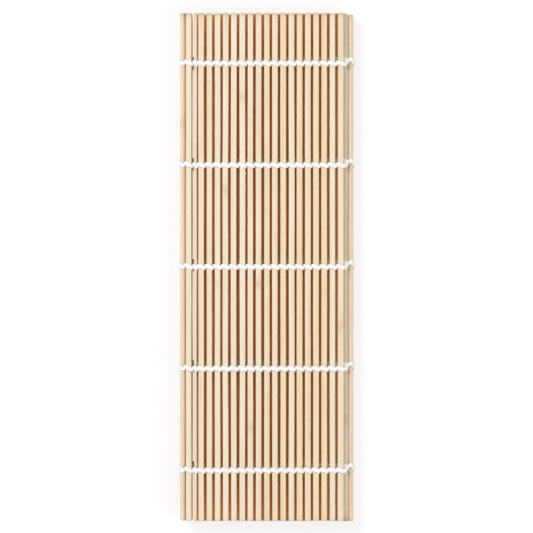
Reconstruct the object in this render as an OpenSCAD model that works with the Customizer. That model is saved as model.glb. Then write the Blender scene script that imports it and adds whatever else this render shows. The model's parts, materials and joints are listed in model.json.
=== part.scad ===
// Rolling mat: slender bamboo slats side by side, held by rows of two twined cotton plies.
// It lies folded in three: the bottom panel, the middle panel and the top panel, with a bend of
// two slats at the left and one at the right. Slats run along Y. Millimetres, +Z up, and the
// origin is at the centre of the underside of the folded mat.
// Slats are counted from the open edge of the top panel, which is at the right, to the open
// edge of the bottom panel, which is at the left. The cords cross in the gap between two slats,
// so each gap is a hinge whose axis runs along Y at half the slats' thickness.

/* [Slats] */
// Length of every slat
slat_length = 240; // [180:1:300]
// Width of an ordinary slat
slat_width = 2.75; // [2.4:0.05:3.5]
// Width of the one thin slat
thin_slat_width = 1.4; // [1.2:0.05:2.4]
// Thickness of every slat
slat_thick = 1.8; // [1.4:0.05:2]
// Rounding of the long edges of a slat
edge_round = 0.35; // [0.2:0.05:0.5]
// Gap that the crossed plies keep between two slats
slat_gap = 1.12; // [1.05:0.01:1.6]
// Gap beside the thin slat, where the plies are pulled tight
tight_gap = 0.6; // [0.5:0.01:1]

/* [Cords] */
// Rows of twined cord across the slats
row_count = 5; // [3:1:7]
// Distance from the slats' ends to the first and last row
row_inset = 24; // [12:1:36]
// Width of one ply
ply_width = 1.05; // [0.8:0.01:1.15]
// Height of a ply above the slat that it passes
ply_height = 0.8; // [0.6:0.01:1]
// Space between the two plies where they cross in a gap
ply_part = 0.11; // [0.05:0.01:0.2]
// Clearance between a ply and the slat that it passes
ply_clear = 0.04; // [0.02:0.01:0.08]
// Size of the knots at the open edges
knot_size = 1.9; // [1.2:0.05:2.2]
// Length of the loose thread tail
tail_length = 3.4; // [2:0.1:5]

/* [Fold] */
// Clearance between a row of cord and the panel that lies on it
seat_clear = 0.3; // [0.2:0.05:0.6]
// Space between the cord rows of two panels that lie side by side
row_clear = 0.15; // [0.1:0.05:0.6]
// How far the bottom panel has slipped out lengthwise
bottom_slip = 1; // [0:0.1:2]

/* [Hidden] */
// Counts of slats
top_slats = 20;
bend_slats = 2;
middle_count = 20;
bottom_count = 19;
// Place of the thin slat and of the slat with the thread tail, from the open edge
thin_at = 19;
tail_at = 13;
// The row of cord, counted from the far ends of the slats, that has the thread tail
tail_row = 2;

// First slat of each stretch, counted from the open edge of the top panel
left_bend = top_slats + 1;
middle = left_bend + bend_slats;
right_bend = middle + middle_count;
bottom = right_bend + bend_slats;
last = bottom + bottom_count - 1;

pitch = slat_width + slat_gap;
// Each ply keeps to its own lane in a gap and changes lane as it passes a slat
lane = (ply_width + ply_part) / 2;
row_width = 2 * lane + ply_width;
// The middle panel's rows lie beside those of the other two panels
row_drift = row_width + row_clear;
row_pitch = (slat_length - 2 * row_inset) / (row_count - 1);
// Half height of the solid part of a crossing, and the play that each hinge needs
cross_half = 0.22;
flat_play = 0.12;
bend_play = 0.25;
// Shoulders of a stitch: how far in from the slat's edge, and how high above the slat
flat_in = 0.1;
flat_high = 0.62;
bend_in = 0.28;
bend_high = 0.56;

// Distance from mid-thickness to the outside of a stitch, and between two stacked panels
outside = slat_thick / 2 + ply_height;
stack = slat_thick + ply_height + seat_clear;

function width(k) = k == thin_at ? thin_slat_width : slat_width;
// Gap on the side of slat k that faces slat k + 1
function gap_before(k) = k == thin_at - 1 ? tight_gap : slat_gap;
function to_start(k) = (width(k) + gap_before(k)) / 2;
function to_end(k) = (width(k) + gap_before(k - 1)) / 2;
function run(a, b) = a > b ? 0 : to_start(a) + to_end(a) + run(a + 1, b);

// A bend turns in three equal steps. The middle panel leans until it seats on the bottom panel
// and carries the open edge of the top panel.
function rise(lean) = pitch * (sin(60 + lean / 3) + sin(120 + 2 * lean / 3));
reach = max(run(bottom, last), run(1, top_slats)) - slat_gap / 2;
function settle(lean, steps) =
    steps == 0 ? lean : settle(asin((rise(lean) - stack) / reach), steps - 1);
lean = settle(3, 8);
turn = (180 + lean) / 3;

function heading(k) =
    k >= bottom ? 0
    : k >= right_bend ? turn * (bottom - k)
    : k >= middle ? 3 * turn
    : k >= left_bend ? 3 * turn - turn * (middle - k)
    : 0;
function dir(a) = [cos(a), sin(a)];

// Slat centres in the X-Z plane, from the open edge of the bottom panel onwards
path = [
    for (
        k = last, c = [0, outside];
        k >= 1;
        c = c + to_end(k) * dir(heading(k)) + to_start(k - 1) * dir(heading(k - 1)), k = k - 1
    ) c
];

// How far a slat and its cords lie from the middle of the mat, lengthwise
function slat_shift(k) =
    k >= bottom ? -bottom_slip : k >= right_bend ? -bottom_slip * (k - middle - middle_count + 1) / 3 : 0;
function row_shift(k) =
    k >= bottom ? -bottom_slip
    : k >= right_bend ? row_drift - (row_drift + bottom_slip) * (k - right_bend + 1) / 3
    : k >= middle ? row_drift
    : k >= left_bend ? row_drift * (k - left_bend + 1) / 3
    : 0;

// True where the gap before slat k belongs to a bend
function bends(k) = (k >= left_bend - 1 && k < middle) || (k >= right_bend - 1 && k < bottom);

function reversed(a) = [for (i = [len(a) - 1:-1:0]) a[i]];
function flip_u(a) = [for (p = reversed(a)) [-p.x, p.y]];
function flip_n(a) = [for (p = a) [p.x, -p.y]];
function moved(a, u) = [for (p = a) [p.x + u, p.y]];

// Cross-section of a slat, with its long edges rounded
function slat_outline(w) = [
    for (q = [0:3], s = [0:2])
        let (a = 90 * q + 45 * s, side = q == 0 || q == 3 ? 1 : -1, face = q < 2 ? 1 : -1)
            [side * (w / 2 - edge_round), face * (slat_thick / 2 - edge_round)] + edge_round * dir(a)
];

// The half of a stitch's outline towards the next slat: outside first, then the slat's side.
// u runs across the slats and n out of the face that the ply passes.
function plane_at(w, gap, bend) = (w + gap) / 2 - (bend ? bend_play : flat_play);
function shoulder(w, bend) = [
    [w / 2 - (bend ? bend_in : flat_in), slat_thick / 2 + ply_height * (bend ? bend_high : flat_high)],
    [w / 4, outside]
];
function end_face(w, gap, bend) = [
    [plane_at(w, gap, bend), -cross_half],
    [plane_at(w, gap, bend), slat_thick * (bend ? 0.36 : 0.5)]
];
// The ply lies round the slat's rounded edge at the same clearance as along its faces
corner = (2 - sqrt(2)) * edge_round - (sqrt(2) - 1) * ply_clear;
function seat(w) = [
    [w / 2 - corner, slat_thick / 2 + ply_clear],
    [w / 2 + ply_clear, slat_thick / 2 - corner],
    [w / 2 + ply_clear, -cross_half]
];
function stitch_outline(k) =
    let (w = width(k), before = bends(k), after = bends(k - 1))
        concat(
            end_face(w, gap_before(k - 1), after),
            shoulder(w, after),
            flip_u(concat(end_face(w, gap_before(k), before), shoulder(w, before))),
            flip_u(seat(w)),
            seat(w)
        );

// Plan of a stitch: it slants from one lane to the other as it passes the slat
function lane_outline(w) =
    let (far = w / 2 + slat_gap, h = ply_width / 2)
        [
            [-far, lane + h], [-w / 2, lane + h], [w / 2, h - lane], [far, h - lane],
            [far, -lane - h], [w / 2, -lane - h], [-w / 2, lane - h], [-far, lane - h]
        ];

// Outlines of one ply that passes a whole panel, over one slat and under the next.
// hi and lo are the panel's first and last slats along its heading, and odd picks the ply.
function side_of(k, odd) = (k + odd) % 2 == 0 ? 1 : -1;
function over(k) =
    concat(
        reversed(flip_u(shoulder(width(k), bends(k)))),
        reversed(shoulder(width(k), bends(k - 1)))
    );
function under(k) = concat(flip_u(seat(width(k))), seat(width(k)));
function upper(k, odd) = side_of(k, odd) > 0 ? over(k) : flip_n(under(k));
function lower(k, odd) = side_of(k, odd) > 0 ? under(k) : flip_n(over(k));
function end_cut(k, odd, gap, bend) =
    let (f = end_face(width(k), gap, bend))
        side_of(k, odd) > 0 ? f : reversed(flip_n(f));
function ply_outline(hi, lo, odd) =
    let (
        head = flip_u(end_cut(hi, odd, gap_before(hi), bends(hi))),
        tail = moved(end_cut(lo, odd, gap_before(lo - 1), bends(lo - 1)), (hi - lo) * pitch)
    )
        concat(
            [head[0]],
            [for (k = [hi:-1:lo]) each moved(upper(k, odd), (hi - k) * pitch)],
            [tail[1], tail[0]],
            reversed([for (k = [hi:-1:lo]) each moved(lower(k, odd), (hi - k) * pitch)]),
            [head[1]]
        );
function ply_lanes(hi, lo, odd, h) = [
    for (k = [hi:-1:lo])
        let (u = (hi - k) * pitch, s = side_of(k, odd) * lane, w = width(k))
            each [
                [u - w / 2 - (k == hi ? slat_gap : 0), s + h],
                if (k == hi) [u - w / 2, s + h],
                [u + w / 2, h - s],
                if (k == lo) [u + w / 2 + slat_gap, h - s]
            ]
];

// The mat is centred on the widest points of its two bends
function placed(k, p) =
    path[last - k] + p.x * dir(heading(k)) + p.y * dir(heading(k) + 90);
rim = [
    for (k = concat([for (i = [left_bend:middle - 1]) i], [for (i = [right_bend:bottom - 1]) i]))
        for (p = concat(stitch_outline(k), flip_n(stitch_outline(k)), slat_outline(width(k))))
            placed(k, p).x
];
centre_x = (max(rim) + min(rim)) / 2;
centre_y = -bottom_slip / 2;

function centre(k) = path[last - k] - [centre_x, 0];
// Where the hinge before slat k lies
function hinge(k) = centre(k) - to_start(k) * dir(heading(k));

function two(k) = str(k < 10 ? "0" : "", k);
hinged = concat([for (k = [1:middle - 1]) k], [for (k = [right_bend:bottom - 1]) k]);

module on_slat(k) {
    translate([centre(k).x, -centre_y, centre(k).y])
        rotate([0, -heading(k), 0])
            children();
}

// Extrudes an outline of the u-n plane along the slats
module lengthwise(points, long) {
    rotate([90, 0, 0])
        linear_extrude(long, center = true)
            polygon(points);
}

// Extrudes an outline of the u-y plane through the mat
module through(points) {
    linear_extrude(3 * slat_thick + 3 * ply_height, center = true)
        polygon(points);
}

module each_row(k) {
    for (r = [0:row_count - 1])
        translate([0, row_shift(k) + (r - (row_count - 1) / 2) * row_pitch, 0])
            children();
}

module slat(k) {
    color("wheat")
        on_slat(k)
            translate([0, slat_shift(k), 0])
                lengthwise(slat_outline(width(k)), slat_length);
}

// The two plies of every row where they pass one slat, above it and below it
module lashing(k) {
    color("white")
        on_slat(k)
            each_row(k)
                for (face = [0, 1])
                    rotate([180 * face, 0, 0])
                        intersection() {
                            lengthwise(stitch_outline(k), 2 * row_width);
                            through(lane_outline(width(k)));
                        }
}

module panel_slats(hi, lo) {
    for (k = [lo:hi])
        slat(k);
}

// The two plies of every row, each in one piece along a whole panel
module panel_lashings(hi, lo) {
    color("white")
        on_slat(hi)
            each_row(hi)
                for (odd = [0, 1])
                    intersection() {
                        lengthwise(ply_outline(hi, lo, odd), 2 * row_width);
                        through(concat(
                            ply_lanes(hi, lo, odd, ply_width / 2),
                            reversed(ply_lanes(hi, lo, odd, -ply_width / 2))
                        ));
                    }
}

// An eight-sided outline, a by b across its flats
function eight(a, b) = [
    for (i = [0:7])
        let (t = 22.5 + 45 * i)
            [a / 2 * cos(t) / cos(22.5), b / 2 * sin(t) / cos(22.5)]
];

module knot(a, b, c) {
    intersection() {
        lengthwise(eight(a, c), 2 * b);
        through(eight(a, b));
        rotate([0, 90, 0])
            linear_extrude(2 * a, center = true)
                polygon(eight(c, b));
    }
}

// The plies are knotted where they leave the mat's first and last slat
module edge_knots(k, way) {
    color("white")
        on_slat(k)
            each_row(k)
                translate([way * (plane_at(slat_width, slat_gap, false) + ply_clear + knot_size / 2), 0, 0])
                    knot(knot_size, row_width, knot_size);
}

// A small knot beside a stitch, with a loose end that lies slantwise over the slat
module thread_tail() {
    y = row_shift(tail_at) + ((row_count + 1) / 2 - tail_row) * row_pitch;
    size = 0.7 * knot_size;
    slant = -62;
    drop = lane + ply_width / 2 + ply_clear + size / 2;
    color("white")
        on_slat(tail_at)
            translate([0, y - drop, slat_thick / 2 + ply_clear]) {
                translate([0, 0, size / 2])
                    knot(size, size, size);
                rotate([0, 0, slant])
                    translate([size / 2 + ply_clear, -ply_width / 4, 0])
                        cube([tail_length, ply_width / 2, ply_width / 2]);
            }
}

module middle_slats() {
    panel_slats(right_bend - 1, middle);
}

module middle_lashings() {
    panel_lashings(right_bend - 1, middle);
}

module bottom_slats() {
    panel_slats(last, bottom);
}

module bottom_lashings() {
    panel_lashings(last, bottom);
}

module front_edge_knots() {
    edge_knots(1, 1);
}

module rear_edge_knots() {
    edge_knots(last, -1);
}

for (k = hinged) {
    slat(k);
    lashing(k);
}
middle_slats();
middle_lashings();
bottom_slats();
bottom_lashings();
front_edge_knots();
rear_edge_knots();
thread_tail();
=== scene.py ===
import json
import math
import random

import bpy
import numpy as np
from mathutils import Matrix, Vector


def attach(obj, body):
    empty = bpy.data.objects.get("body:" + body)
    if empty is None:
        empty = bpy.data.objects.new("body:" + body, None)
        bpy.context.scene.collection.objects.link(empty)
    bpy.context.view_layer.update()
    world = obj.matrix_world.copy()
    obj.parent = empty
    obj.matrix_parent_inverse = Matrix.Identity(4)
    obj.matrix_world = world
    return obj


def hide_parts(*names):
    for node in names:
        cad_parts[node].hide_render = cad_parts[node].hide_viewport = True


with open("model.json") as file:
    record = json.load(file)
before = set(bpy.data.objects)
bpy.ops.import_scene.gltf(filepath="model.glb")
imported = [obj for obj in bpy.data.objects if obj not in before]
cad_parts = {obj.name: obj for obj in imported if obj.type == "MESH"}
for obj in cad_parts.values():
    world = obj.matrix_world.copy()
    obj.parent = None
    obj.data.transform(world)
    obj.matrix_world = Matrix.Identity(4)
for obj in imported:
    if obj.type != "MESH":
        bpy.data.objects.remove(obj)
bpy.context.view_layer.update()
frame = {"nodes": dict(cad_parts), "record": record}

MM = 0.001

# Slats are numbered along the mat from the open edge of the top panel
TOP = range(1, 21)
LEFT_BEND = range(21, 23)
MIDDLE = range(23, 43)
RIGHT_BEND = range(43, 45)
BOTTOM = range(45, 64)
HINGED = [*TOP, *LEFT_BEND, *RIGHT_BEND]
THIN = 19
WITH_TAIL = 13

# Slats
SLAT_THICK = 1.8 * MM
SLAT_GAP = 1.12 * MM
GAP_AT_THIN = 0.6 * MM
EDGE_ROUND = 0.34 * MM
SLAT_STEPS = 60
BOW = 0.16 * MM
# Two slats are plainly bowed in the photograph
BOWED = (14, 15)
STRONG_BOW = -0.24 * MM
# The thin slat, those beside it and the one at the open edge stay nearly straight
STRAIGHT = (1, 18, 19, 20)
STRAIGHT_SHARE = 0.3
STRAIGHT_NARROWING = -0.05 * MM
TAPER = 0.10 * MM
SHORTENING = 0.25 * MM
NODE_REACH = 0.11
NODE_LENGTH = 1.1 * MM
NODE_HEIGHT = 0.03 * MM

# Cords
LANE = 0.46 * MM
STITCH_STEPS = 21
STITCH_CROWN = 1.33
STITCH_TWIST = 1500.0
TAIL_TWIST = 900.0
TAIL_STEPS = 14
KNOT_STEPS = 54
KNOT_END_STEPS = 7
ALONG_Y = (0, 1, 0)
ALONG_Z = (0, 0, 1)
KNOT_LATERAL = (0.3, 0.2, 1)

# Colours
# Amber tint: partly the bamboo's own skin and split sides, partly painted shade that darkens the gaps
# between slats to orange-brown
AMBER_SKIN_AND_PAINTED_SHADE = (0.92, 0.39, 0.055)
NODE_BROWN = (0.62, 0.42, 0.22)
WHITE = (1.0, 1.0, 1.0)


# The slats and cord rows of the frame

def islands(name):
    """The separate solids of a CAD node, as arrays of points."""
    node = frame["nodes"][name]
    seen = {}
    unique = []
    index = []
    for vertex in node.data.vertices:
        point = node.matrix_world @ vertex.co
        key = tuple(round(c * 1e6) for c in point)
        if key not in seen:
            seen[key] = len(unique)
            unique.append(point)
        index.append(seen[key])
    parent = list(range(len(unique)))

    def root(i):
        while parent[i] != i:
            parent[i] = parent[parent[i]]
            i = parent[i]
        return i

    for face in node.data.polygons:
        first = root(index[face.vertices[0]])
        for v in face.vertices[1:]:
            parent[root(index[v])] = first
    groups = {}
    for i, point in enumerate(unique):
        groups.setdefault(root(i), []).append(tuple(point))
    return [np.array(group) for group in groups.values()]


def middle_of(values):
    return float((values.max() + values.min()) / 2)


class Slat:
    """A slat as measured in the frame: its middle, its directions across and up, its sizes."""

    def __init__(self, k, points, body, rows):
        self.k = k
        self.body = body
        self.rows = rows
        section = points[:, [0, 2]]
        if k in TOP or k in BOTTOM:
            across = np.array([1.0, 0.0])
            self.centre = (section.max(axis=0) + section.min(axis=0)) / 2
        else:
            self.centre = section.mean(axis=0)
            across = self.widest(section)
        self.across = across / np.linalg.norm(across)
        self.up = np.array([-self.across[1], self.across[0]])
        reach = (section - self.centre) @ self.across
        self.width = float(reach.max() - reach.min())
        self.y = middle_of(points[:, 1])
        self.length = float(points[:, 1].max() - points[:, 1].min())
        self.gap_before = SLAT_GAP
        self.gap_after = SLAT_GAP

    def widest(self, section):
        """The direction across a tilted slat, pointing back to the open edge of the mat."""
        _, directions = np.linalg.eigh(np.cov((section - self.centre).T))
        across = directions[:, 1]
        if self.k in MIDDLE:
            return across if across[0] < 0 else -across
        return across if across[1] > 0 else -across

    def place(self, u, n, y):
        """The point at u across, n up and y along the slat."""
        p = self.centre + u * self.across + n * self.up
        return (p[0], y, p[1])


def row_centres(name):
    """The places along Y of a node's cord rows, each midway between its two plies."""
    ys = sorted(middle_of(island[:, 1]) for island in islands(name))
    return [(ys[i] + ys[i + 1]) / 2 for i in range(0, len(ys), 2)]


def measured_slats():
    """All slats by number."""
    body_of = {}
    for body, nodes in frame["record"]["behaviour"]["bodies"].items():
        for node in nodes:
            body_of[node] = body
    found = {}
    for k in HINGED:
        name = f"slat_{k:02d}"
        found[k] = Slat(k, islands(name)[0], body_of[name], row_centres(f"lashing_{k:02d}"))
    panels = (
        (MIDDLE, "middle_slats", "middle_lashings", 1),
        (BOTTOM, "bottom_slats", "bottom_lashings", -1),
    )
    for numbers, wood, lashings, way in panels:
        rows = row_centres(lashings)
        solids = sorted(islands(wood), key=lambda p: way * p[:, 0].mean())
        for k, points in zip(numbers, solids):
            found[k] = Slat(k, points, body_of[wood], rows)
    found[THIN - 1].gap_before = GAP_AT_THIN
    found[THIN].gap_after = GAP_AT_THIN
    return found


# Shader nodes

def material(name):
    m = bpy.data.materials.new(name)
    m.use_nodes = True
    return m, m.node_tree, m.node_tree.nodes["Principled BSDF"]


def add(tree, kind, **values):
    node = tree.nodes.new(kind)
    for key, value in values.items():
        setattr(node, key, value)
    return node


def feed(tree, socket, value):
    """Links a socket to an output, or sets it to a number or a colour."""
    if isinstance(value, bpy.types.NodeSocket):
        tree.links.new(value, socket)
    elif isinstance(value, tuple):
        socket.default_value = (*value, 1)
    else:
        socket.default_value = value


def ramp(tree, factor, stops):
    node = add(tree, "ShaderNodeValToRGB")
    while len(node.color_ramp.elements) < len(stops):
        node.color_ramp.elements.new(0.5)
    for element, (position, colour) in zip(node.color_ramp.elements, stops):
        element.position = position
        element.color = (*colour, 1)
    tree.links.new(factor, node.inputs[0])
    return node.outputs[0]


def mix(tree, kind, factor, a, b):
    node = add(tree, "ShaderNodeMix", data_type="RGBA", blend_type=kind)
    feed(tree, node.inputs[0], factor)
    feed(tree, node.inputs[6], a)
    feed(tree, node.inputs[7], b)
    return node.outputs[2]


def times(tree, a, b):
    node = add(tree, "ShaderNodeMath", operation="MULTIPLY")
    feed(tree, node.inputs[0], a)
    feed(tree, node.inputs[1], b)
    return node.outputs[0]


def stretched_noise(tree, vector, scale, detail, rough=0.5):
    stretch = add(tree, "ShaderNodeVectorMath", operation="MULTIPLY")
    tree.links.new(vector, stretch.inputs[0])
    stretch.inputs[1].default_value = scale
    noise = add(tree, "ShaderNodeTexNoise")
    noise.inputs["Scale"].default_value = 1.0
    noise.inputs["Detail"].default_value = detail
    noise.inputs["Roughness"].default_value = rough
    tree.links.new(stretch.outputs[0], noise.inputs["Vector"])
    return noise.outputs["Fac"]


def bump(tree, bsdf, height, strength, distance):
    node = add(tree, "ShaderNodeBump")
    node.inputs["Strength"].default_value = strength
    node.inputs["Distance"].default_value = distance
    tree.links.new(height, node.inputs["Height"])
    tree.links.new(node.outputs[0], bsdf.inputs["Normal"])


def attribute(tree, name):
    return add(tree, "ShaderNodeAttribute", attribute_name=name).outputs["Vector"]


# Materials

def bamboo():
    m, tree, bsdf = material("bamboo")
    fibre = attribute(tree, "fib")
    tone = add(tree, "ShaderNodeSeparateXYZ")
    tree.links.new(attribute(tree, "tone"), tone.inputs[0])
    shade, amber_and_painted_shade, node_mark = tone.outputs
    fine = stretched_noise(tree, fibre, (5200, 34, 5200), 3, 0.6)
    broad = stretched_noise(tree, fibre, (1100, 11, 1100), 2)
    colour = ramp(tree, shade, [
        (0.0, (0.78, 0.68, 0.47)),
        (0.35, (0.79, 0.715, 0.56)),
        (0.7, (0.80, 0.745, 0.63)),
        (1.0, (0.81, 0.70, 0.54)),
    ])
    streaks = ramp(tree, fine, [(0.30, (0.84, 0.73, 0.56)), (0.47, WHITE), (0.70, (1.0, 0.985, 0.95))])
    clouds = ramp(tree, broad, [(0.32, (0.93, 0.87, 0.76)), (0.58, WHITE)])
    colour = mix(tree, "MULTIPLY", 0.8, colour, streaks)
    colour = mix(tree, "MULTIPLY", 0.75, colour, clouds)
    # Amber tint laid over the wood colour: partly the bamboo's own skin and split sides, partly painted
    # shade for the gaps between slats
    colour = mix(tree, "MIX", amber_and_painted_shade, colour, AMBER_SKIN_AND_PAINTED_SHADE)
    colour = mix(tree, "MIX", times(tree, node_mark, 0.55), colour, NODE_BROWN)
    tree.links.new(colour, bsdf.inputs["Base Color"])
    rough = ramp(tree, fine, [(0.3, (0.62, 0.62, 0.62)), (0.7, (0.46, 0.46, 0.46))])
    tree.links.new(rough, bsdf.inputs["Roughness"])
    bsdf.inputs["Specular IOR Level"].default_value = 0.35
    bump(tree, bsdf, fine, 0.35, 0.12 * MM)
    return m


def end_grain():
    m, tree, bsdf = material("bamboo end grain")
    dots = stretched_noise(tree, attribute(tree, "fib"), (9000, 9000, 9000), 2)
    colour = ramp(tree, dots, [(0.35, (0.42, 0.25, 0.11)), (0.6, (0.76, 0.60, 0.38))])
    tree.links.new(colour, bsdf.inputs["Base Color"])
    bsdf.inputs["Roughness"].default_value = 0.8
    return m


def cotton():
    m, tree, bsdf = material("cotton cord")
    fibre = attribute(tree, "fib")
    fuzz = stretched_noise(tree, fibre, (7000, 7000, 7000), 3, 0.6)
    patch = stretched_noise(tree, fibre, (500, 500, 500), 1)
    colour = ramp(tree, fuzz, [(0.3, (0.80, 0.81, 0.82)), (0.62, (0.93, 0.935, 0.94))])
    patches = ramp(tree, patch, [(0.3, (0.95, 0.95, 0.94)), (0.6, WHITE)])
    tree.links.new(mix(tree, "MULTIPLY", 0.5, colour, patches), bsdf.inputs["Base Color"])
    bsdf.inputs["Roughness"].default_value = 0.88
    bsdf.inputs["Specular IOR Level"].default_value = 0.2
    bsdf.inputs["Sheen Weight"].default_value = 0.15
    bump(tree, bsdf, fuzz, 0.5, 0.10 * MM)
    return m


# Meshes

class Shape:
    """Points and faces of a mesh, with what its materials read from each."""

    def __init__(self):
        self.points = []
        self.faces = []
        self.fibre = []
        self.tone = []
        self.material = []

    def close(self, rings, sides, caps, cap_material):
        """Adds the faces between rings of points, and the two caps."""
        for i in range(rings - 1):
            for j in range(sides):
                a = i * sides + j
                b = i * sides + (j + 1) % sides
                self.faces.append((a, b, b + sides, a + sides))
        self.material = [0] * len(self.faces) + [cap_material] * 2
        self.faces += caps


def joined(shapes):
    whole = Shape()
    for shape in shapes:
        base = len(whole.points)
        whole.points += shape.points
        whole.faces += [tuple(i + base for i in face) for face in shape.faces]
        whole.fibre += shape.fibre
        whole.tone += shape.tone
        whole.material += shape.material
    return whole


def add_piece(name, shape, materials, body, node):
    """One piece of the scene, which rides on a body in place of a CAD node."""
    mesh = bpy.data.meshes.new(name)
    mesh.from_pydata([tuple(map(float, p)) for p in shape.points], [], shape.faces)
    for m in materials:
        mesh.materials.append(m)
    for key, values in (("fib", shape.fibre), ("tone", shape.tone)):
        if values:
            layer = mesh.attributes.new(key, "FLOAT_VECTOR", "POINT")
            layer.data.foreach_set("vector", np.array(values, dtype=np.float32).ravel())
    for polygon, index in zip(mesh.polygons, shape.material):
        polygon.use_smooth = index == 0
        polygon.material_index = index
    mesh.update()
    piece = bpy.data.objects.new(name, mesh)
    bpy.context.collection.objects.link(piece)
    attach(piece, body)
    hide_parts(node)


# Slats

def slat_ring():
    """Directions round a slat's section, a quarter turn about each long edge."""
    ring = []
    for quarter in range(4):
        to_u = 1 if quarter in (0, 3) else -1
        to_n = 1 if quarter < 2 else -1
        for step in range(4):
            turn = math.radians(90 * quarter + 30 * step)
            ring.append((to_u, to_n, math.cos(turn), math.sin(turn)))
    return ring


def amber_and_painted_shade_shares(k, outer):
    """How far the amber tint covers a slat's face and its split sides. This is partly the bamboo's own
    skin and split-side colour, and partly painted shade that makes the gaps between slats read
    orange-brown. The planed faces that show stay pale.
    """
    if k in (TOP[0], BOTTOM[-1]):
        return 0.0, 0.35
    if k in (*LEFT_BEND, MIDDLE[-1], *RIGHT_BEND):
        return 0.02, 0.12
    if k in MIDDLE:
        # The middle panel's upward face, seen through the gaps of the top panel, gets a strong tint:
        # partly skin side, partly painted shade
        return (0.10 if outer else 0.74), 0.95
    if k in BOTTOM:
        return (0.16 if outer else 0.03), 0.8
    return (0.0 if outer else 0.3), 0.92


def slat_shape(s):
    """One slat with a slight bow, uneven width, worn edges and at most one node of the culm."""
    r = random.Random(1000 + s.k)
    bow = r.uniform(-BOW, BOW)
    if s.k in BOWED:
        bow = STRONG_BOW
    wave_start = r.uniform(0, 6.28)
    wave = r.uniform(0.01, 0.05) * MM
    widening = r.uniform(-0.11, 0.05) * MM
    if s.k in STRAIGHT:
        bow *= STRAIGHT_SHARE
        widening = STRAIGHT_NARROWING
    taper = r.uniform(-TAPER, TAPER)
    shade = r.random()
    fibre_start = r.uniform(0, 3) * 0.01 + s.k * 0.0071
    culm_nodes = []
    if r.random() < 0.5:
        culm_nodes.append(r.uniform(-NODE_REACH, NODE_REACH))
    cuts = {0: -r.uniform(-SHORTENING, 0), SLAT_STEPS: r.uniform(-SHORTENING, 0)}

    shape = Shape()
    ring = slat_ring()
    for i in range(SLAT_STEPS + 1):
        f = i / SLAT_STEPS * 2 - 1
        y = f * s.length / 2 + cuts.get(i, 0)
        # The bow leaves the ends of the slat in place
        offset = bow * math.cos(f * math.pi / 2) + wave * math.sin(f * 9 + wave_start)
        half_width = (s.width + widening + taper * f) / 2
        half_thick = SLAT_THICK / 2
        mark = max([math.exp(-((y - c) / NODE_LENGTH) ** 2) for c in culm_nodes] + [0])
        for to_u, to_n, cos, sin in ring:
            outer = to_n > 0
            u = to_u * (half_width - EDGE_ROUND) + EDGE_ROUND * cos
            swelling = NODE_HEIGHT * mark if outer else 0
            n = to_n * (half_thick - EDGE_ROUND) + EDGE_ROUND * sin + swelling
            shape.points.append(s.place(u + offset, n, s.y + y))
            shape.fibre.append((u + fibre_start, y + s.k * 0.13, n))
            side = abs(cos) ** 3
            # The share on faces and split sides is partly painted shade: it tints the surfaces seen
            # down the gaps so that the gaps look shadowed
            face, flank = amber_and_painted_shade_shares(s.k, outer)
            shape.tone.append((shade, flank * side + face * (1 - side), mark))
    sides = len(ring)
    last = SLAT_STEPS * sides
    caps = [tuple(range(sides)), tuple(range(last + sides - 1, last - 1, -1))]
    shape.close(SLAT_STEPS + 1, sides, caps, 1)
    return shape


# Cords

def spline(points, count):
    """A smooth line through the points, as so many points."""
    P = [np.array(p, float) for p in points]
    P = [2 * P[0] - P[1]] + P + [2 * P[-1] - P[-2]]
    spans = len(P) - 3
    line = []
    for i in range(count):
        x = i / (count - 1) * spans
        j = min(int(x), spans - 1)
        t = x - j
        a, b, c, d = P[j:j + 4]
        line.append(0.5 * (
            2 * b + (c - a) * t
            + (2 * a - 5 * b + 4 * c - d) * t * t
            + (3 * b - a - 3 * c + d) * t ** 3
        ))
    return line


def unit(vectors):
    return vectors / np.linalg.norm(vectors, axis=1)[:, None]


def thread(path, radii, seed, sides, twist, lateral):
    """A two-strand twisted thread along a path. Radii are (across, up) at each point."""
    points = np.array(path)
    ahead = unit(np.gradient(points, axis=0))
    sideways = np.array(lateral, float)
    across = unit(sideways[None, :] - (ahead @ sideways)[:, None] * ahead)
    up = np.cross(ahead, across)
    steps = np.linalg.norm(np.diff(points, axis=0), axis=1)
    along = np.concatenate([[0], np.cumsum(steps)])
    turn = np.linspace(0, 2 * math.pi, sides, endpoint=False)
    shape = Shape()
    for i in range(len(points)):
        swell = 1 + 0.13 * np.cos(2 * (turn - twist * along[i] - seed))
        wide = (radii[i][0] * swell * np.cos(turn))[:, None] * across[i]
        high = (radii[i][1] * swell * np.sin(turn))[:, None] * up[i]
        ring = points[i] + wide + high
        shape.points += [tuple(p) for p in ring]
        shape.fibre += [tuple(p + seed * 0.01) for p in ring]
    last = (len(points) - 1) * sides
    caps = [tuple(range(sides - 1, -1, -1)), tuple(range(last, last + sides))]
    shape.close(len(points), sides, caps, 0)
    return shape


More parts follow.
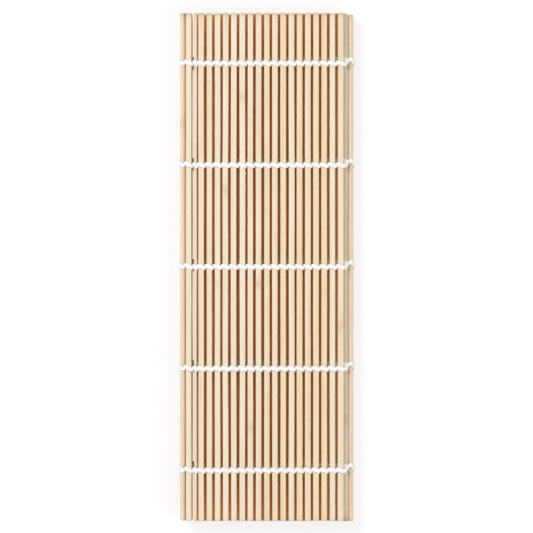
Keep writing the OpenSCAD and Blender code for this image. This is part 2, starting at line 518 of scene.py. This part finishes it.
def stitch(s, face, y_before, y_after, seed):
    """One ply over (face 1) or under (face -1) a slat, from the middle of a gap to that of the next."""
    half = s.width / 2
    crown = (STITCH_CROWN + random.Random(seed).uniform(-0.03, 0.03)) * MM
    line = spline([
        (-half - s.gap_before / 2, 0.0),
        (-half - 0.38 * s.gap_before, 0.62 * MM),
        (-half - 0.10 * MM, 1.12 * MM),
        (-half * 0.62, 1.28 * MM),
        (0, crown),
        (half * 0.62, 1.28 * MM),
        (half + 0.10 * MM, 1.12 * MM),
        (half + 0.38 * s.gap_after, 0.62 * MM),
        (half + s.gap_after / 2, 0.0),
    ], STITCH_STEPS)
    start, end = line[0][0], line[-1][0]
    path = []
    radii = []
    for u, n in line:
        t = (u - start) / (end - start)
        y = y_before + (y_after - y_before) * t * t * (3 - 2 * t)
        path.append(s.place(u, face * n, y))
        fullness = math.sin(math.pi * t)
        radii.append(((0.92 + 0.16 * fullness) * MM, (0.45 + 0.05 * fullness) * MM))
    return thread(path, radii, seed % 7, 12, STITCH_TWIST, ALONG_Y)


def rows_after(k):
    """Row places in the gap between slat k and the next, midway between those of the two."""
    both = [slats[i].rows for i in (k, k + 1) if i in slats]
    return [sum(ys) / len(ys) for ys in zip(*both)]


def slat_stitches(s):
    shapes = []
    before = rows_after(s.k)
    after = rows_after(s.k - 1)
    for i in range(len(s.rows)):
        for face in (1, -1):
            seed = s.k * 31 + i * 7 + face
            shapes.append(stitch(s, face, before[i] + face * LANE, after[i] - face * LANE, seed))
    return shapes


def tight_knot(centre, size, seed, radius):
    """A small overhand knot, drawn tight."""
    path = []
    for i in range(KNOT_STEPS + 1):
        t = 2 * math.pi * i / KNOT_STEPS
        trefoil = (
            (math.sin(t) + 2 * math.sin(2 * t)) / 3,
            (math.cos(t) - 2 * math.cos(2 * t)) / 3,
            -math.sin(3 * t) * 0.6,
        )
        path.append(tuple(c + p * r for c, p, r in zip(centre, trefoil, size)))
    return thread(path, [(radius, radius)] * len(path), seed, 10, STITCH_TWIST, KNOT_LATERAL)


def edge_knots(s, way):
    """The knots that end the cord rows at an edge of the mat, each with two short cut ends."""
    shapes = []
    edge = s.width / 2 + SLAT_GAP / 2 - 0.12 * MM
    for i, y in enumerate(s.rows):
        r = random.Random(500 + i + way)
        centre = s.place(way * (edge + 0.75 * MM), 0.0, y)
        shapes.append(tight_knot(centre, (0.62 * MM, 0.75 * MM, 0.5 * MM), i, 0.36 * MM))
        for sign in (1, -1):
            tip = s.place(way * (edge + 1.1 * MM), r.uniform(-0.3, 0.3) * MM, y + sign * 0.9 * MM)
            bend = s.place(way * (edge + 0.95 * MM), 0.0, y + sign * 0.4 * MM)
            path = spline([centre, bend, tip], KNOT_END_STEPS)
            radii = [(0.30 * MM, 0.30 * MM)] * KNOT_END_STEPS
            shapes.append(thread(path, radii, i, 10, TAIL_TWIST, ALONG_Z))
    return shapes


def loose_tail(s):
    """A small knot and a loose end of thread, on the second row from the far end."""
    y = s.rows[-2]
    centre = s.place(0.1 * MM, 1.55 * MM, y - 1.25 * MM)
    knot = tight_knot(centre, (0.5 * MM, 0.55 * MM, 0.22 * MM), 3, 0.30 * MM)
    path = spline([
        s.place(0.1 * MM, 1.45 * MM, y - 1.3 * MM),
        s.place(0.5 * MM, 1.35 * MM, y - 2.2 * MM),
        s.place(1.1 * MM, 1.25 * MM, y - 3.2 * MM),
        s.place(1.75 * MM, 1.3 * MM, y - 4.3 * MM),
    ], TAIL_STEPS)
    radii = []
    for i in range(TAIL_STEPS):
        thinner = 0.008 * i
        radii.append(((0.34 - thinner) * MM, (0.30 - thinner) * MM))
    return [knot, thread(path, radii, 5, 12, TAIL_TWIST, ALONG_Y)]


# Pieces

slats = measured_slats()
wood = [bamboo(), end_grain()]
cord = [cotton()]


def add_wood(name, shapes, body, node):
    add_piece(name, joined(shapes), wood, body, node)


def add_cord(name, shapes, body, node):
    add_piece(name, joined(shapes), cord, body, node)


for k in HINGED:
    slat = slats[k]
    add_wood(f"bamboo_slat_{k:02d}", [slat_shape(slat)], slat.body, f"slat_{k:02d}")
    add_cord(f"cord_stitches_{k:02d}", slat_stitches(slat), slat.body, f"lashing_{k:02d}")

for panel, numbers in (("middle", MIDDLE), ("bottom", BOTTOM)):
    body = f"{panel}_panel"
    panel_slats = [slats[k] for k in numbers]
    stitches = [shape for slat in panel_slats for shape in slat_stitches(slat)]
    add_wood(f"{body}_bamboo", [slat_shape(slat) for slat in panel_slats], body, f"{panel}_slats")
    add_cord(f"{body}_cords", stitches, body, f"{panel}_lashings")

first, last = slats[TOP[0]], slats[BOTTOM[-1]]
add_cord("front_knots", edge_knots(first, 1), first.body, "front_edge_knots")
add_cord("rear_knots", edge_knots(last, -1), last.body, "rear_edge_knots")
add_cord("loose_tail", loose_tail(slats[WITH_TAIL]), slats[WITH_TAIL].body, "thread_tail")


# Floor, light and camera

def add_floor():
    """A pale floor that looks white to the camera and still takes the part's shadow."""
    bpy.ops.mesh.primitive_plane_add(size=6, location=(0, 0, -0.2 * MM))
    floor = bpy.context.object
    floor.name = "floor"
    m, tree, bsdf = material("floor")
    bsdf.inputs["Base Color"].default_value = (0.93, 0.93, 0.93, 1)
    bsdf.inputs["Roughness"].default_value = 0.9
    bsdf.inputs["Specular IOR Level"].default_value = 0.0
    glow = add(tree, "ShaderNodeEmission")
    glow.inputs["Color"].default_value = (*WHITE, 1)
    glow.inputs["Strength"].default_value = 1.0
    ray = add(tree, "ShaderNodeLightPath")
    both = add(tree, "ShaderNodeMixShader")
    tree.links.new(times(tree, ray.outputs["Is Camera Ray"], 0.72), both.inputs[0])
    tree.links.new(bsdf.outputs[0], both.inputs[1])
    tree.links.new(glow.outputs[0], both.inputs[2])
    tree.links.new(both.outputs[0], tree.nodes["Material Output"].inputs["Surface"])
    floor.data.materials.append(m)


def add_sky():
    world = bpy.context.scene.world or bpy.data.worlds.new("World")
    bpy.context.scene.world = world
    world.use_nodes = True
    background = world.node_tree.nodes["Background"]
    background.inputs[0].default_value = (*WHITE, 1)
    background.inputs[1].default_value = 0.55


def add_light(name, location, size, power):
    """A square lamp that points at the part."""
    data = bpy.data.lights.new(name, "AREA")
    data.shape = "SQUARE"
    data.size = size
    data.energy = power
    lamp = bpy.data.objects.new(name, data)
    lamp.location = location
    lamp.rotation_euler = (-Vector(location)).to_track_quat("-Z", "Y").to_euler()
    bpy.context.collection.objects.link(lamp)


def add_camera():
    """Straight above the mat, as in the photograph."""
    data = bpy.data.cameras.new("Camera")
    data.type = "PERSP"
    data.lens = 150
    data.sensor_width = 36
    data.clip_start = 0.01
    data.clip_end = 20
    camera = bpy.data.objects.new("Camera", data)
    camera.location = (-0.2 * MM, 0.7 * MM, 1059.5 * MM)
    camera.rotation_euler = (0, 0, 0)
    bpy.context.collection.objects.link(camera)
    bpy.context.scene.camera = camera


add_floor()
add_sky()
add_light("Key", (-0.75, 0.55, 1.15), 0.5, 11.0)
add_light("Fill", (0.9, -0.5, 1.0), 0.8, 6.0)
add_camera()
bpy.context.scene.view_settings.view_transform = "Standard"
